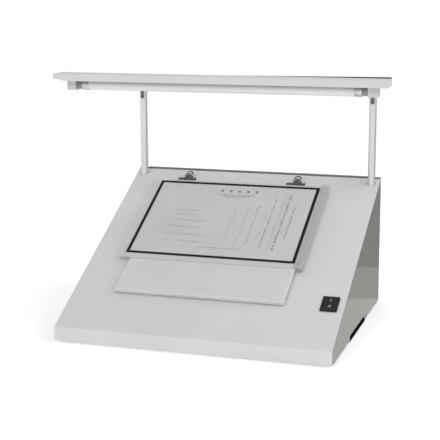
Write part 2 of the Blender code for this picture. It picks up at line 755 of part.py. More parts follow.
def make_clip_spring(name, slope, x):
    """A torsion spring round the pin, with a short leg that bears on the sloped face."""
    turns = 2
    steps = 10
    wire = 0.0003
    radius = 0.0020
    start = NECK_HALF + 0.0005
    pitch = 0.0007
    data = bpy.data.curves.new(name, "CURVE")
    data.dimensions = "3D"
    data.bevel_depth = wire
    data.bevel_resolution = 1
    data.use_fill_caps = True
    spline = data.splines.new("POLY")
    spline.points.add(turns * steps + 1)
    for i in range(turns * steps + 1):
        angle = 2 * math.pi * i / steps - math.pi / 2
        along = start + pitch * i / steps
        spline.points[i].co = (along, radius * math.cos(angle), radius * math.sin(angle), 1)
    end = start + pitch * turns
    leg_z = GAP + wire - CLIP_PIN_H
    spline.points[turns * steps + 1].co = (end, 0.006, leg_z, 1)
    data.materials.append(material("bright_steel"))
    spring = bpy.data.objects.new(name, data)
    spring.location = (x, CLIP_PIN_S, CLIP_PIN_H)
    spring.parent = slope
    bpy.context.scene.collection.objects.link(spring)


def make_clips(slope):
    for side, x in zip(("left", "right"), CLIP_X):
        make_clip_base(f"{side}_clip_base", slope, x)
        make_clip_lever(f"{side}_clip_lever", slope, x)
        make_clip_pin(f"{side}_clip_pin", slope, x)
        make_clip_spring(f"{side}_clip_spring", slope, x)


# Switch and mains inlet


def make_switch(slope):
    bm = bmesh.new()
    half_x, half_s = BEZEL[0] / 2, BEZEL[1] / 2
    outline = rounded_box_outline((-half_x, -half_s), (half_x, half_s), 0.0015, 3)
    add_prism(bm, outline, GAP, BEZEL_HEIGHT, "Z")
    body = finish("switch_body", bm, "black_plastic", slope, (SWITCH_X, SWITCH_S, 0))

    stem = bmesh.new()
    half_x, half_s = SWITCH_BODY[0] / 2, SWITCH_BODY[1] / 2
    add_box(stem, (-half_x, -half_s, -SWITCH_DEPTH), (half_x, half_s, BEZEL_HEIGHT / 2))
    for s in (-0.007, 0.0, 0.007):
        tab_lo = (-0.0032, s - 0.0004, -SWITCH_DEPTH - 0.008)
        tab_hi = (0.0032, s + 0.0004, -SWITCH_DEPTH + 0.002)
        add_box(stem, tab_lo, tab_hi)
    boolean(body, finish("switch_stem", stem, None, slope, (SWITCH_X, SWITCH_S, 0)), "UNION")

    well = bmesh.new()
    half_x = ROCKER_HALF_WIDTH + GAP
    half_s = ROCKER_RADIUS + GAP
    add_box(well, (-half_x, -half_s, -0.0105), (half_x, half_s, 0.01))
    boolean(body, finish("switch_well", well, None, slope, (SWITCH_X, SWITCH_S, 0)))

    rocker = bmesh.new()
    outline = arc((0, 0), ROCKER_RADIUS, -22, 22, 6)
    outline += [(0.006, 0.0031), (0.0, 0.0026), (-0.006, 0.0031)]
    outline += arc((0, 0), ROCKER_RADIUS, 158, 202, 6)
    outline += [(0.0, -0.0062)]
    add_prism(rocker, outline, -ROCKER_HALF_WIDTH, ROCKER_HALF_WIDTH)
    finish("switch_rocker", rocker, "black_plastic", slope, (SWITCH_X, SWITCH_S, ROCKER_PIVOT_H), ROCKER_TILT)


def inlet_pin_places():
    """Each pin's place from the middle of the inlet."""
    return {
        "inlet_earth_pin": (0.0, 0.0035),
        "inlet_line_pin": (-0.007, -0.0015),
        "inlet_neutral_pin": (0.007, -0.0015),
    }


def make_power_inlet():
    """A three-pin appliance inlet set into the back panel."""
    outer_y = BACK_Y + 0.003
    half_x, half_z = 0.0170, 0.0135
    flange_lo = (INLET_X - half_x, INLET_Z - half_z)
    flange_hi = (INLET_X + half_x, INLET_Z + half_z)
    bm = bmesh.new()
    add_prism(bm, rounded_box_outline(flange_lo, flange_hi, 0.002, 3), BACK_Y + GAP, outer_y, "Y")
    body = finish("power_inlet", bm, "black_plastic")
    half_x, half_z = INLET_BLOCK
    block = bmesh.new()
    block_lo = (INLET_X - half_x, BACK_Y - INLET_DEPTH, INLET_Z - half_z)
    block_hi = (INLET_X + half_x, BACK_Y + 0.001, INLET_Z + half_z)
    add_box(block, block_lo, block_hi)
    boolean(body, finish("inlet_block", block, None), "UNION")

    cut = bmesh.new()
    half_x, half_z, corner = 0.0120, 0.0081, 0.0040
    socket = [
        (-half_x, -half_z), (half_x, -half_z), (half_x, half_z - corner), (half_x - corner, half_z),
        (-half_x + corner, half_z), (-half_x, half_z - corner),
    ]
    outline = [(INLET_X + a, INLET_Z + b) for a, b in socket]
    add_prism(cut, outline, BACK_Y - INLET_SOCKET_DEPTH, outer_y + 0.01, "Y")
    boolean(body, finish("inlet_socket_cutter", cut, None))

    slots = bmesh.new()
    half_x, half_z = 0.001, 0.002
    slot_x, slot_z = half_x + GAP, half_z + GAP
    for name, (a, b) in inlet_pin_places().items():
        x = INLET_X + a
        z = INLET_Z + b
        add_box(slots, (x - slot_x, BACK_Y - 0.03, z - slot_z), (x + slot_x, BACK_Y, z + slot_z))
        pin = bmesh.new()
        add_box(pin, (x - half_x, BACK_Y - 0.028, z - half_z), (x + half_x, BACK_Y - 0.001, z + half_z))
        finish(name, pin, "bright_steel")
    boolean(body, finish("inlet_pin_cutter", slots, None))


# Posts and lamp head


def make_post(name, side):
    """A round tube that stands in the box, with a slot across its top for the arm."""
    bm = bmesh.new()
    add_pipe(bm, POST_RADIUS, POST_BORE, POST_BOTTOM_Z, POST_TOP_Z, (side * POST_X, POST_Y, 0), segments=24)
    post = finish(name, bm, "white_paint", smooth=True)
    cut = bmesh.new()
    x = side * POST_X
    add_box(cut, (x - SLOT_HALF, POST_Y - 0.02, SLOT_BOTTOM_Z), (x + SLOT_HALF, POST_Y + 0.02, POST_TOP_Z + 0.01))
    boolean(post, finish(f"{name}_slot", cut, None))
    hole = bmesh.new()
    add_rod(hole, PIVOT_RADIUS + RUNNING, x - 0.02, x + 0.02, (0, POST_Y, PIVOT_Z), "X")
    boolean(post, finish(f"{name}_hole", hole, None))


def make_post_bracket(name, side):
    """A block on the base plate with a socket for the foot of a post."""
    x = side * POST_X
    bm = bmesh.new()
    floor = BASE_TOP_Z + GAP
    add_box(bm, (x - 0.0112, POST_Y - 0.0130, floor), (x + 0.0112, POST_Y + 0.0130, floor + 0.040))
    block = finish(name, bm, "galvanised")
    cut = bmesh.new()
    add_rod(cut, POST_RADIUS + GAP, floor + 0.003, floor + 0.06, (x, POST_Y, 0))
    boolean(block, finish(f"{name}_cutter", cut, None))


def make_pivot(prefix, side):
    """Pivot bolt with a domed head on the outside, and its nut on the inside."""
    x = side * POST_X
    face = POST_RADIUS + GAP
    bolt = bmesh.new()
    profile = [
        (0, -0.0085), (PIVOT_RADIUS, -0.0085), (PIVOT_RADIUS, face), (0.0036, face), (0.0036, face + 0.0010),
        (0.0024, face + 0.0022), (0, face + 0.0025),
    ]
    add_turned(bolt, [(r, side * a) for r, a in profile], (x, POST_Y, PIVOT_Z), "X", 20)
    finish(f"{prefix}_pivot_bolt", bolt, "bright_steel", smooth=True)

    nut = bmesh.new()
    start, end = sorted((-side * face, -side * (face + 0.0018)))
    add_pipe(nut, 0.0037, PIVOT_RADIUS + RUNNING, start, end, (x, POST_Y, PIVOT_Z), "X")
    finish(f"{prefix}_pivot_nut", nut, "bright_steel")


def make_arm(name, head, side):
    """A flat bar from the pivot to the carrier bar, with a tongue that hangs in the post's slot."""
    front_y = HOOD_FRONT_Y + HOOD_DEPTH + BAR_THICKNESS + 2 * GAP - POST_Y
    front_z = HOOD_BOTTOM_Z - 0.0012 - PIVOT_Z
    lean = front_z / -front_y
    rise = math.atan(lean)
    tongue_z = TONGUE_Z - PIVOT_Z
    tongue_half = 0.0045
    outline = [(front_y, front_z + math.cos(rise) * ARM_HALF_HEIGHT)]
    outline += arc((0, 0), ARM_HALF_HEIGHT, 90 - math.degrees(rise), 0, 5)
    outline += arc((0, tongue_z), tongue_half, 0, -180, 8)
    outline.append((-tongue_half, lean * tongue_half - ARM_HALF_HEIGHT))
    outline.append((front_y, front_z - ARM_HALF_HEIGHT))
    bm = bmesh.new()
    x = side * POST_X
    add_prism(bm, outline, x - ARM_HALF, x + ARM_HALF)
    arm = finish(name, bm, "dark_grey_paint", head)
    cut = bmesh.new()
    add_rod(cut, PIVOT_RADIUS + RUNNING, x - 0.02, x + 0.02, axis="X")
    boolean(arm, finish(f"{name}_hole", cut, None, head))


def make_carrier_bar(head):
    """A flat bar behind the hood that joins both arms."""
    y = HOOD_FRONT_Y + HOOD_DEPTH + GAP - POST_Y
    bm = bmesh.new()
    low = HOOD_BOTTOM_Z - 0.0075 - PIVOT_Z
    high = HOOD_BOTTOM_Z + HOOD_HEIGHT - 0.0010 - PIVOT_Z
    add_box(bm, (-BAR_HALF_LENGTH, y, low), (BAR_HALF_LENGTH, y + BAR_THICKNESS, high))
    bar = finish("carrier_bar", bm, "dark_grey_paint", head)
    bevel(bar, 0.0004, 1)


def make_lamp_ballast(head):
    """A slim case behind the right half of the hood, its top rising from under the hood's to just over it."""
    front = HOOD_FRONT_Y + HOOD_DEPTH + BAR_THICKNESS + 2 * GAP - POST_Y
    low, high = (z - PIVOT_Z for z in BALLAST_CASE_Z)
    bm = bmesh.new()
    near, far = BALLAST_CASE_X
    add_box(bm, (near, front, low), (far, front + BALLAST_CASE_DEPTH, high))
    for vert in bm.verts:
        if vert.co.x < (near + far) / 2 and vert.co.z > (low + high) / 2:
            vert.co.z -= BALLAST_CASE_FALL
    case = finish("lamp_ballast", bm, "black_plastic", head)
    bevel(case, 0.0006, 1)


def make_hood(head):
    """A shallow tray, open underneath, over the lamp, with its lower edge cut back at the left end."""
    y = HOOD_FRONT_Y - POST_Y
    z = HOOD_BOTTOM_Z - PIVOT_Z
    bm = bmesh.new()
    add_box(bm, (-HOOD_HALF, y, z), (HOOD_HALF, y + HOOD_DEPTH, z + HOOD_HEIGHT))
    hood = finish("hood_shell", bm, "white_paint", head)
    cut = bmesh.new()
    add_box(
        cut,
        (-HOOD_HALF + HOOD_SHEET, y + HOOD_SHEET, z - 0.01),
        (HOOD_HALF - HOOD_SHEET, y + HOOD_DEPTH - HOOD_SHEET, z + HOOD_HEIGHT - HOOD_SHEET),
    )
    boolean(hood, finish("hood_cutter", cut, None, head))
    corner = bmesh.new()
    outline = [
        (-HOOD_HALF - 0.01, z - 0.01), (-HOOD_HALF + HOOD_CUT[0], z - 0.01), (-HOOD_HALF + HOOD_CUT[0], z),
        (-HOOD_HALF, z + HOOD_CUT[1]), (-HOOD_HALF - 0.01, z + HOOD_CUT[1]),
    ]
    add_prism(corner, outline, y - 0.01, y + HOOD_DEPTH + 0.01, "Y")
    boolean(hood, finish("hood_corner_cutter", corner, None, head))
    bevel(hood, 0.0003, 1, 60)


def make_lamp_channel(head):
    """A thin channel, open downwards, that carries the holders under the hood."""
    y = LAMP_Y - POST_Y
    high = HOOD_BOTTOM_Z + HOOD_HEIGHT - HOOD_SHEET - GAP - PIVOT_Z
    low = LAMP_Z + LAMP_RADIUS + GAP - PIVOT_Z
    half = 0.009
    wall = 0.0008
    bm = bmesh.new()
    inner = half - wall
    outline = [
        (y - half, low), (y - half, high), (y + half, high), (y + half, low),
        (y + inner, low), (y + inner, high - wall), (y - inner, high - wall), (y - inner, low),
    ]
    add_prism(bm, outline, -HOLDER_X[1], HOLDER_X[1])
    finish("lamp_channel", bm, "white_paint", head)


def make_lamp_ends(head):
    """Holder block, black socket and tube cap at both ends of the lamp."""
    y = LAMP_Y - POST_Y
    z = LAMP_Z - PIVOT_Z
    top = LAMP_Z + LAMP_RADIUS - PIVOT_Z
    low = HOLDER_BOTTOM_Z - PIVOT_Z
    for prefix, side in (("left", -1), ("right", 1)):
        near, far = sorted((side * HOLDER_X[0], side * HOLDER_X[1]))
        block = bmesh.new()
        outline = rounded_box_outline((y - 0.0095, low), (y + 0.0095, top), 0.0012, 2)
        add_prism(block, outline, near, far)
        finish(f"{prefix}_lamp_holder", block, "white_plastic", head)

        socket = bmesh.new()
        inner = side * (LAMP_HALF + GAP)
        outer = side * (HOLDER_X[0] - GAP)
        add_rod(socket, 0.0068, min(inner, outer), max(inner, outer), (0, y, z), "X", 20)
        finish(f"{prefix}_lamp_socket", socket, "grey_plastic", head, smooth=True)

        cap = bmesh.new()
        base = side * (LAMP_HALF - 0.011)
        disc = side * (LAMP_HALF - 0.001)
        end = side * LAMP_HALF
        profile = [
            (0, disc), (TUBE_BORE, disc), (TUBE_BORE, base), (LAMP_RADIUS, base),
            (LAMP_RADIUS, disc), (LAMP_RADIUS - 0.001, end), (0, end),
        ]
        add_turned(cap, profile, (0, y, z), "X", 24)
        finish(f"{prefix}_tube_cap", cap, "cap_metal", head, smooth=True)


def make_lamp_tube(head):
    half = LAMP_HALF - 0.011 - GAP
    bm = bmesh.new()
    add_pipe(bm, LAMP_RADIUS - 0.0002, TUBE_BORE, -half, half, (0, LAMP_Y - POST_Y, LAMP_Z - PIVOT_Z), "X")
    finish("lamp_tube", bm, "lamp_glass", head, smooth=True)


def build():
    clear_scene()
    slope = frame("slope_frame", (0, FRONT_Y, BEND_Z), SLOPE)
    head = frame("head_frame", (0, POST_Y, PIVOT_Z))
    bpy.context.view_layer.update()
    make_top_panel(slope)
    make_side_panel("left_side_panel", slope, -1)
    make_side_panel("right_side_panel", slope, 1)
    make_back_panel()
    make_base_plate()
    make_feet()
    make_back_screws()
    make_opal_plate(slope)
    make_plate_tape(slope)
    make_reflector_tray(slope)
    make_inner_tubes(slope)
    make_holder_strips(slope)
    make_ballast()
    make_terminal_block()
    make_film(slope)
    make_clips(slope)
    make_switch(slope)
    make_power_inlet()
    for prefix, side in (("left", -1), ("right", 1)):
        make_post(f"{prefix}_post", side)
        make_post_bracket(f"{prefix}_post_bracket", side)
        make_pivot(prefix, side)
        make_arm(f"{prefix}_arm", head, side)
    make_carrier_bar(head)
    make_lamp_ballast(head)
    make_hood(head)
    make_lamp_channel(head)
    make_lamp_ends(head)
    make_lamp_tube(head)


build()
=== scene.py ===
import math
import random

import bmesh
import bpy
from mathutils import Matrix, Vector
from mathutils.bvhtree import BVHTree


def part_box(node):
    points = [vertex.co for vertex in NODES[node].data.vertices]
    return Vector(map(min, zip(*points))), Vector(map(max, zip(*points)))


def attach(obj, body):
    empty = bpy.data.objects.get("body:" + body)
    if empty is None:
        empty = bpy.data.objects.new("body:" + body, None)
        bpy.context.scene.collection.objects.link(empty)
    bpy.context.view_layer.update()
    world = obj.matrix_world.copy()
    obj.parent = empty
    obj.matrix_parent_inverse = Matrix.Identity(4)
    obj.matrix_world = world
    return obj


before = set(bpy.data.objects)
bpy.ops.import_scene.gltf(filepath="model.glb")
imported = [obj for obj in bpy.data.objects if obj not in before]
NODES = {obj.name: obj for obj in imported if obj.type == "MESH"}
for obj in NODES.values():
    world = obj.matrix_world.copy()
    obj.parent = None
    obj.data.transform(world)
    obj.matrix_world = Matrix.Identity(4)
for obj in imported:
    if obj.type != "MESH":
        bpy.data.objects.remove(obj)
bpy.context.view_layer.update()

# ---- The sloped face, in metres: s runs up the slope from its front edge, h stands off it ----
SLOPE_ORIGIN = Vector((0.0, -0.184, 0.0245))
SLOPE = math.atan2(0.1857, 0.361)
UP_SLOPE = Vector((0.0, math.cos(SLOPE), math.sin(SLOPE)))
OFF_SLOPE = Vector((0.0, -math.sin(SLOPE), math.cos(SLOPE)))
FILM_TOP = 0.0079
PRINT_THICKNESS = 0.00010
PRINT_SINK = 0.00004

# ---- The printed frame's centre lines on the film, and its line width ----
FRAME_X = (-0.1512, 0.1168)
FRAME_S = (0.1716, 0.3564)
FRAME_LINE = 0.0051

# ---- The rocker's marks: offsets up the slope from its middle, and sizes ----
RING_OFFSET = -0.0040
RING_RADII = (0.0013, 0.0022)
BAR_OFFSET = 0.0062
BAR_PINHOLE = 0.0004
BAR_HALF_WIDTH = 0.0006
BAR_HALF_LENGTH = 0.0023
MARK_LIFTS = (-0.00003, 0.00006)

# ---- Camera: place in metres, then degrees down, to the left and rolled ----
CAMERA_PLACE = (0.53294, -1.70432, 0.52596)
CAMERA_PITCH = 11.528
CAMERA_YAW = 17.666
CAMERA_ROLL = -0.241
CAMERA_LENS = 96.03

# ---- Stage: the floor, the black mat of painted shadow under the box, and flags measured out from the mirrored camera ----
FLOOR_Z = -0.0002
FLOOR_RADIUS = 40.0
FLOOR_GLOW = 0.27
SHADOW_MAT_Z = 0.0004
SHADOW_MAT_RIGHT_EDGE = [(0.2094, -0.058), (0.2094, 0.064), (0.2055, 0.076), (0.194, 0.111), (0.15, 0.12)]
SIDE_FACE_X = 0.21
FLAG_Z = 0.002
LIGHT_FLAG_START = 1.1
MID_FLAG_START = 1.904
DARK_FLAG_START = 2.124
DARK_FLAG_END = 9.0
FLAG_REACH = 2.0
DARK_FLAG_REACH = 7.0
LIGHT_FLAG = 0.97
MID_FLAG = 0.57
DARK_FLAG = 0.26

# ---- Lights ----
WORLD_STRENGTH = 0.67
KEY_TOWARDS = (-0.22, -0.95, 0.64)
KEY_STRENGTH = 0.73
KEY_SOFTNESS = 40.0
FILL_PLACE = (1.20, 0.10, 1.15)
FILL_SIZE = 1.2
FILL_POWER = 7.5


# ------------------------------------------------------------------------- node helpers
def start_material(name, colour, roughness, **sockets):
    """A Principled material with its constant values set on the shader's own sockets."""
    material = bpy.data.materials.new(name)
    material.use_nodes = True
    tree = material.node_tree
    shader = tree.nodes["Principled BSDF"]
    shader.inputs["Base Color"].default_value = (*colour, 1.0)
    shader.inputs["Roughness"].default_value = roughness
    for socket, value in sockets.items():
        shader.inputs[socket.replace("_", " ")].default_value = value
    material.diffuse_color = (*colour, 1.0)
    return material, tree, shader


def object_coordinates(tree, stretch=(1.0, 1.0, 1.0)):
    """The object's own coordinates in metres, squeezed or stretched along each axis."""
    coordinates = tree.nodes.new("ShaderNodeTexCoord")
    mapping = tree.nodes.new("ShaderNodeMapping")
    mapping.inputs["Scale"].default_value = stretch
    tree.links.new(coordinates.outputs["Object"], mapping.inputs["Vector"])
    return mapping.outputs["Vector"]


def noise(tree, vector, scale, detail=3.0, roughness=0.55):
    """Cloudy noise from 0 to 1, its scale in features per metre."""
    node = tree.nodes.new("ShaderNodeTexNoise")
    node.inputs["Scale"].default_value = scale
    node.inputs["Detail"].default_value = detail
    node.inputs["Roughness"].default_value = roughness
    tree.links.new(vector, node.inputs["Vector"])
    return node.outputs["Fac"]


def voronoi(tree, vector, scale, output="Distance"):
    """Random cells: how far a point is from its cell's middle, or the cell's own colour."""
    node = tree.nodes.new("ShaderNodeTexVoronoi")
    node.inputs["Scale"].default_value = scale
    tree.links.new(vector, node.inputs["Vector"])
    return node.outputs[output]


def remap(tree, value, low, high, to_low, to_high):
    """Moves a value from one range to another and clamps it there."""
    node = tree.nodes.new("ShaderNodeMapRange")
    for socket, number in zip(("From Min", "From Max", "To Min", "To Max"), (low, high, to_low, to_high)):
        node.inputs[socket].default_value = number
    tree.links.new(value, node.inputs["Value"])
    return node.outputs["Result"]


def arithmetic(tree, operation, first, second):
    """One maths node. Each operand is a number or another node's output."""
    node = tree.nodes.new("ShaderNodeMath")
    node.operation = operation
    for socket, value in zip(node.inputs, (first, second)):
        if isinstance(value, (int, float)):
            socket.default_value = value
        else:
            tree.links.new(value, socket)
    return node.outputs["Value"]


def mix_colours(tree, factor, first, second):
    """Blends two colours by a factor. Each is a tuple or another node's output."""
    node = tree.nodes.new("ShaderNodeMix")
    node.data_type = "RGBA"
    tree.links.new(factor, node.inputs[0])
    for socket, colour in ((node.inputs[6], first), (node.inputs[7], second)):
        if isinstance(colour, tuple):
            socket.default_value = (*colour, 1.0)
        else:
            tree.links.new(colour, socket)
    return node.outputs[2]


def bump(tree, shader, height, distance):
    """Tilts the shader's normals by a height field, its depth in metres."""
    node = tree.nodes.new("ShaderNodeBump")
    node.inputs["Strength"].default_value = 1.0
    node.inputs["Distance"].default_value = distance
    tree.links.new(height, node.inputs["Height"])
    tree.links.new(node.outputs["Normal"], shader.inputs["Normal"])


def edge_mask(tree, radius, low=0.0, high=0.35):
    """Near 1 on a convex or concave edge and 0 on a flat face."""
    bevel = tree.nodes.new("ShaderNodeBevel")
    bevel.samples = 4
    bevel.inputs["Radius"].default_value = radius
    geometry = tree.nodes.new("ShaderNodeNewGeometry")
    dot = tree.nodes.new("ShaderNodeVectorMath")
    dot.operation = "DOT_PRODUCT"
    tree.links.new(bevel.outputs["Normal"], dot.inputs[0])
    tree.links.new(geometry.outputs["True Normal"], dot.inputs[1])
    turned = arithmetic(tree, "SUBTRACT", 1.0, dot.outputs["Value"])
    return remap(tree, turned, low, high, 0.0, 1.0)


def scaled(colour, factor):
    """A lighter or darker shade of a colour, clipped at white."""
    return tuple(min(1.0, channel * factor) for channel in colour)


# ------------------------------------------------------------------------- materials
def powder_coat(name, colour, roughness=0.42, wear=0.9, metallic=0.0):
    """Powder coat: fine orange peel, a soft tone drift, and a thin tired line along the edges."""
    material, tree, shader = start_material(name, colour, roughness, Metallic=metallic)
    vector = object_coordinates(tree)
    drift = noise(tree, vector, 9.0, 3.0)
    speck = noise(tree, vector, 2600.0, 1.0)
    clean = mix_colours(tree, remap(tree, drift, 0.3, 0.7, 0.0, 1.0),
                        scaled(colour, 0.97), scaled(colour, 1.03))
    grained = mix_colours(tree, remap(tree, speck, 0.62, 0.8, 0.0, 0.35), clean, scaled(colour, 0.9))
    edge = arithmetic(tree, "MULTIPLY", edge_mask(tree, 0.0007),
                      remap(tree, noise(tree, vector, 140.0, 4.0), 0.35, 0.65, 0.15, 0.6))
    worn = mix_colours(tree, edge, grained, scaled(colour, wear))
    tree.links.new(worn, shader.inputs["Base Color"])
    smear = noise(tree, vector, 26.0, 4.0, 0.6)
    tree.links.new(remap(tree, smear, 0.3, 0.7, roughness - 0.06, roughness + 0.07),
                   shader.inputs["Roughness"])
    bump(tree, shader, noise(tree, vector, 1100.0, 2.0), 0.00002)
    return material


def lacquer(name, colour):
    """Grey base coat under a clear semi-gloss lacquer, with faint polishing haze and rubbed edges."""
    material, tree, shader = start_material(name, colour, 0.5, Specular_IOR_Level=0.1, Coat_Weight=0.5,
                                            Coat_Roughness=0.04, Coat_IOR=1.5)
    vector = object_coordinates(tree)
    drift = remap(tree, noise(tree, vector, 7.0, 4.0), 0.3, 0.7, 0.0, 1.0)
    speck = remap(tree, noise(tree, vector, 2400.0, 1.0), 0.6, 0.8, 0.0, 0.3)
    base = mix_colours(tree, drift, scaled(colour, 0.97), scaled(colour, 1.03))
    speckled = mix_colours(tree, speck, base, scaled(colour, 0.9))
    edge = arithmetic(tree, "MULTIPLY", edge_mask(tree, 0.0006),
                      remap(tree, noise(tree, vector, 150.0, 4.0), 0.35, 0.65, 0.1, 0.5))
    tree.links.new(mix_colours(tree, edge, speckled, scaled(colour, 1.35)), shader.inputs["Base Color"])
    tree.links.new(remap(tree, drift, 0.0, 1.0, 0.45, 0.58), shader.inputs["Roughness"])
    bump(tree, shader, noise(tree, vector, 900.0, 2.0), 0.00002)
    return material


def acrylic(name, colour):
    """Opal acrylic: hazy inside, glossy, with fine scratches and a painted shade line along each polished
    edge that stands in for how the edges darken by refraction.
    """
    material, tree, shader = start_material(name, colour, 0.22, IOR=1.49, Coat_Weight=0.2,
                                            Coat_Roughness=0.06, Subsurface_Weight=0.6,
                                            Subsurface_Scale=0.008, Subsurface_Radius=(1.0, 1.0, 1.0))
    vector = object_coordinates(tree)
    haze = remap(tree, noise(tree, vector, 14.0, 4.0), 0.3, 0.7, 0.0, 1.0)
    body = mix_colours(tree, haze, scaled(colour, 0.975), scaled(colour, 1.02))
    # Painted shade: the polished edges are darkened to stand in for their refraction.
    edge = edge_mask(tree, 0.0008, 0.0, 0.2)
    shade = arithmetic(tree, "MULTIPLY", edge, 0.75)
    tree.links.new(mix_colours(tree, shade, body, scaled(colour, 0.80)), shader.inputs["Base Color"])
    scratch = noise(tree, object_coordinates(tree, (30.0, 1.0, 1.0)), 60.0, 5.0, 0.7)
    tree.links.new(remap(tree, scratch, 0.35, 0.7, 0.16, 0.30), shader.inputs["Roughness"])
    bump(tree, shader, scratch, 0.000006)
    return material


def polyester_film(name, colour):
    """Matt translucent drafting film: partly see-through, slightly cloudy, with greyer side margins that are
    painted shadow for the shade under the film where it hangs past the plate, darker at the right than the
    left.
    """
    material, tree, shader = start_material(name, colour, 0.38, Alpha=0.50, Specular_IOR_Level=0.3)
    vector = object_coordinates(tree)
    cloud = remap(tree, noise(tree, vector, 22.0, 4.0), 0.3, 0.7, 0.0, 1.0)
    lengthwise = object_coordinates(tree, (1.0, 0.15, 0.15))
    fibre = remap(tree, noise(tree, lengthwise, 420.0, 2.0), 0.4, 0.7, 0.0, 0.4)
    body = mix_colours(tree, cloud, scaled(colour, 0.975), scaled(colour, 1.025))
    streaked = mix_colours(tree, fibre, body, scaled(colour, 0.95))
    edge = edge_mask(tree, 0.0003, 0.0, 0.3)
    place = tree.nodes.new("ShaderNodeSeparateXYZ")
    tree.links.new(vector, place.inputs["Vector"])
    # Painted shadow: the film outside the printed frame is darkened, to 0.66 at the right and 0.88 at the
    # left, for the shade that falls under its margins.
    right_margin_shadow_paint = remap(tree, place.outputs["X"], FRAME_X[1], FRAME_X[1] + FRAME_LINE, 0.0, 1.0)
    left_margin_shadow_paint = remap(tree, place.outputs["X"], FRAME_X[0] - FRAME_LINE, FRAME_X[0], 1.0, 0.0)
    left_shadow_painted = mix_colours(tree, left_margin_shadow_paint, streaked, scaled(colour, 0.88))
    margin_shadows_painted = mix_colours(tree, right_margin_shadow_paint, left_shadow_painted, scaled(colour, 0.66))
    tree.links.new(mix_colours(tree, edge, margin_shadows_painted, scaled(colour, 0.70)), shader.inputs["Base Color"])
    tree.links.new(remap(tree, cloud, 0.0, 1.0, 0.32, 0.46), shader.inputs["Roughness"])
    bump(tree, shader, noise(tree, vector, 30.0, 1.0), 0.0006)
    return material


def moulded_plastic(name, colour, roughness, scuff_and_highlight, specular=0.5):
    """Moulded thermoplastic: spark-eroded texture, lighter edges and corners that are partly scuffs and
    partly painted highlight, and uneven gloss.
    """
    material, tree, shader = start_material(name, colour, roughness, Specular_IOR_Level=specular)
    vector = object_coordinates(tree)
    tone = remap(tree, noise(tree, vector, 60.0, 3.0), 0.3, 0.7, 0.0, 1.0)
    body = mix_colours(tree, tone, scaled(colour, 0.93), scaled(colour, 1.08))
    # Lighter edges: scuffs plus a painted highlight along every edge.
    edge = arithmetic(tree, "MULTIPLY", edge_mask(tree, 0.0005), 0.5)
    tree.links.new(mix_colours(tree, edge, body, scaled(colour, scuff_and_highlight)), shader.inputs["Base Color"])
    tree.links.new(remap(tree, noise(tree, vector, 180.0, 4.0), 0.3, 0.7, roughness - 0.08, roughness + 0.08),
                   shader.inputs["Roughness"])
    bump(tree, shader, voronoi(tree, vector, 1500.0), 0.00003)
    return material


def plated_steel(name, colour, roughness, brush=(1.0, 1.0, 14.0), edge_tone=1.5):
    """Plated or blued steel: drawn lines, smudges and brighter rubbed edges."""
    material, tree, shader = start_material(name, colour, roughness, Metallic=0.9)
    vector = object_coordinates(tree)
    lines = noise(tree, object_coordinates(tree, brush), 260.0, 4.0, 0.6)
    smudge = remap(tree, noise(tree, vector, 90.0, 4.0), 0.3, 0.7, 0.0, 1.0)
    body = mix_colours(tree, smudge, scaled(colour, 0.8), scaled(colour, 1.15))
    edge = arithmetic(tree, "MULTIPLY", edge_mask(tree, 0.0004), 0.7)
    tree.links.new(mix_colours(tree, edge, body, scaled(colour, edge_tone)), shader.inputs["Base Color"])
    tree.links.new(remap(tree, lines, 0.3, 0.7, roughness - 0.08, roughness + 0.12),
                   shader.inputs["Roughness"])
    bump(tree, shader, lines, 0.00001)
    return material


def galvanised_steel(name, colour):
    """Hot-dip zinc: flat crystals a few millimetres across, each with its own tone and gloss."""
    material, tree, shader = start_material(name, colour, 0.40, Metallic=0.75)
    vector = object_coordinates(tree)
    crystal = voronoi(tree, vector, 190.0, "Color")
    grey = tree.nodes.new("ShaderNodeSeparateColor")
    tree.links.new(crystal, grey.inputs["Color"])
    tone = grey.outputs["Red"]
    tree.links.new(mix_colours(tree, tone, scaled(colour, 0.82), scaled(colour, 1.18)),
                   shader.inputs["Base Color"])
    tree.links.new(remap(tree, tone, 0.0, 1.0, 0.32, 0.5), shader.inputs["Roughness"])
    bump(tree, shader, noise(tree, vector, 700.0, 2.0), 0.00002)
    return material


def coated_glass(name, colour):
    """Glass tube with a phosphor coat inside: milky body under a clear glossy skin, greyer at the ends."""
    material, tree, shader = start_material(name, colour, 0.35, Coat_Weight=0.9, Coat_Roughness=0.03,
                                            IOR=1.5)
    vector = object_coordinates(tree)
    powder = remap(tree, noise(tree, vector, 900.0, 3.0), 0.3, 0.7, 0.0, 1.0)
    body = mix_colours(tree, powder, scaled(colour, 0.97), scaled(colour, 1.02))
    axis = tree.nodes.new("ShaderNodeSeparateXYZ")
    tree.links.new(vector, axis.inputs["Vector"])
    reach = arithmetic(tree, "ABSOLUTE", axis.outputs["X"], 0.0)
    ends = remap(tree, reach, 0.192, 0.219, 0.0, 0.55)
    tree.links.new(mix_colours(tree, ends, body, scaled(colour, 0.72)), shader.inputs["Base Color"])
    bump(tree, shader, noise(tree, vector, 900.0, 1.0), 0.000004)
    return material


def rubber(name, colour):
    """Matt rubber with a little pale dust."""
    material, tree, shader = start_material(name, colour, 0.75)
    vector = object_coordinates(tree)
    dust = remap(tree, noise(tree, vector, 300.0, 4.0), 0.45, 0.75, 0.0, 0.5)
    tree.links.new(mix_colours(tree, dust, colour, (0.14, 0.135, 0.13)), shader.inputs["Base Color"])
    tree.links.new(remap(tree, dust, 0.0, 0.5, 0.68, 0.9), shader.inputs["Roughness"])
    bump(tree, shader, noise(tree, vector, 1200.0, 3.0), 0.00008)
    return material


